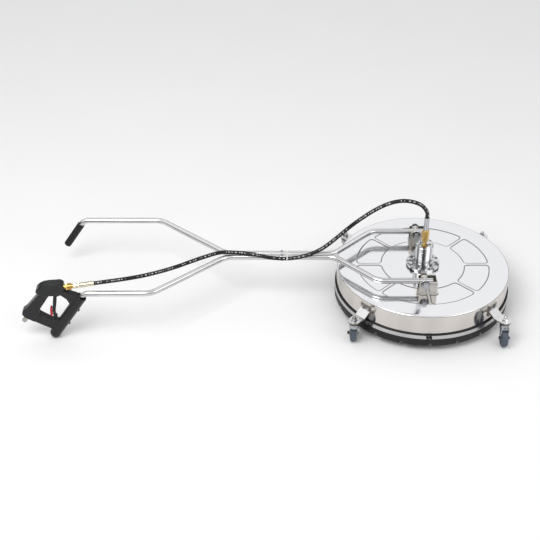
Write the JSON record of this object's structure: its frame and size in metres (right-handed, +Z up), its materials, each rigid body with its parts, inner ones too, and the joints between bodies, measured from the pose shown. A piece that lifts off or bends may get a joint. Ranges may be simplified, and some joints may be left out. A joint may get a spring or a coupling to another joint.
{
  "type": "surface cleaner",
  "caption": "Round stainless hard-surface cleaner on swivel casters with a rotary spray bar, a hinged twin-tube handle, a trigger gun and a high-pressure hose.",
  "frame": {"origin": "on the floor under the middle of the object's bounding box without the hose", "axes": "+Z up from the floor, +X from the handle towards the bell, the bell's axis is vertical"},
  "size_m": [2.101, 0.7732, 0.5185],
  "materials": {
    "stainless": "mirror-polished stainless steel",
    "zinc": "bright zinc plate",
    "dome_steel": "polished",
    "brass": "machined, lightly tarnished",
    "rubber": "satin black rubber",
    "black_plastic": "fine-grained moulded plastic",
    "red_plastic": "moulded",
    "white_nylon": "natural nylon",
    "tyre": "smooth blue-grey elastomer"
  },
  "bodies": {
    "deck": {"deck_shell": "stainless", "rubber_skirt": "rubber", "skirt_band": "stainless", "band_screw": "rubber", "yoke_plate": "stainless", "yoke_brackets": "stainless", "swivel_flange": "stainless", "flange_bolts": "zinc", "swivel_housing": "stainless", "swivel_cap": "stainless", "bearing_outer_rings": "zinc", "shaft_seals": "rubber", "inlet_adapter": "brass", "hose_nut": "brass", "deck_ferrule": "zinc", "pivot_bolts": "zinc", "pivot_nuts": "zinc", "pivot_washers": "zinc", "pivot_bushes": "white_nylon", "caster_arms": "stainless", "arm_bolts": "zinc", "caster_stems": "zinc", "dome_nuts": "dome_steel"},
    "rotor": {"rotor_shaft": "stainless", "bearing_inner_rings": "zinc", "bearing_balls": "zinc", "rotor_hub": "stainless", "spray_arms": "stainless", "nozzle_elbows": "zinc", "nozzles": "brass"},
    "handle": {"lower_tubes": "stainless", "upper_tube_near": "stainless", "upper_tube_far": "stainless", "pivot_sleeves": "stainless", "joint_bolts": "zinc", "cable_tie": "white_nylon", "far_grip": "rubber", "hose": "rubber", "gun_shell_near": "black_plastic", "gun_shell_far": "black_plastic", "gun_screws": "zinc", "gun_inlet": "zinc", "valve_block": "brass", "valve_spring": "zinc", "outlet_fittings": "brass"},
    "trigger": {"trigger": "black_plastic"},
    "latch": {"trigger_latch": "red_plastic"},
    "plunger": {"valve_plunger": "zinc"},
    "caster_fl": {"fork_fl": "zinc", "axle_fl": "zinc"},
    "roll_fl": {"wheel_fl": "tyre"},
    "caster_fr": {"fork_fr": "zinc", "axle_fr": "zinc"},
    "roll_fr": {"wheel_fr": "tyre"},
    "caster_bl": {"fork_bl": "zinc", "axle_bl": "zinc"},
    "roll_bl": {"wheel_bl": "tyre"},
    "caster_br": {"fork_br": "zinc", "axle_br": "zinc"},
    "roll_br": {"wheel_br": "tyre"}
  },
  "joints": [
    {"name": "rotor_spin", "type": "hinge", "parent": "deck", "child": "rotor", "pos_m": [0.66811, 0, 0.112], "axis": [0, 0, 1], "continuous": true},
    {"name": "handle_lift", "type": "hinge", "parent": "deck", "child": "handle", "pos_m": [0.65311, 0, 0.228], "axis": [0, 1, 0], "range_deg": [0, 95], "deforming": ["hose"]},
    {"name": "swivel_fl", "type": "hinge", "parent": "deck", "child": "caster_fl", "pos_m": [0.35133, -0.31678, 0.09], "axis": [0, 0, 1], "continuous": true},
    {"name": "wheel_spin_fl", "type": "hinge", "parent": "caster_fl", "child": "roll_fl", "pos_m": [0.35133, -0.29878, 0.0375], "axis": [-1, 0, 0], "continuous": true},
    {"name": "swivel_fr", "type": "hinge", "parent": "deck", "child": "caster_fr", "pos_m": [0.98489, -0.31678, 0.09], "axis": [0, 0, 1], "continuous": true},
    {"name": "wheel_spin_fr", "type": "hinge", "parent": "caster_fr", "child": "roll_fr", "pos_m": [0.98489, -0.33478, 0.0375], "axis": [1, 0, 0], "continuous": true},
    {"name": "swivel_bl", "type": "hinge", "parent": "deck", "child": "caster_bl", "pos_m": [0.35133, 0.31678, 0.09], "axis": [0, 0, 1], "continuous": true},
    {"name": "wheel_spin_bl", "type": "hinge", "parent": "caster_bl", "child": "roll_bl", "pos_m": [0.36691, 0.32578, 0.0375], "axis": [-0.5, 0.866, 0], "continuous": true},
    {"name": "swivel_br", "type": "hinge", "parent": "deck", "child": "caster_br", "pos_m": [0.98489, 0.31678, 0.09], "axis": [0, 0, 1], "continuous": true},
    {"name": "wheel_spin_br", "type": "hinge", "parent": "caster_br", "child": "roll_br", "pos_m": [0.96931, 0.32578, 0.0375], "axis": [-0.5, -0.866, 0], "continuous": true},
    {"name": "trigger_pull", "type": "hinge", "parent": "handle", "child": "trigger", "pos_m": [-0.88983, -0.277, 0.234], "axis": [0, 1, 0], "range_deg": [0, 9], "stiffness_Nm_per_rad": 1, "springref_deg": -11.46},
    {"name": "latch_swing", "type": "hinge", "parent": "trigger", "child": "latch", "pos_m": [-0.91883, -0.277, 0.158], "axis": [0, 1, 0], "range_deg": [0, 25]},
    {"name": "plunger_lift", "type": "slide", "parent": "handle", "child": "plunger", "axis": [0, 0, 1], "range_m": [0, 0.0024], "deforming": ["valve_spring"]}
  ],
  "couplings": [
    {"joint": "plunger_lift", "follows": "trigger_pull", "m_per_rad": 0.014}
  ]
}
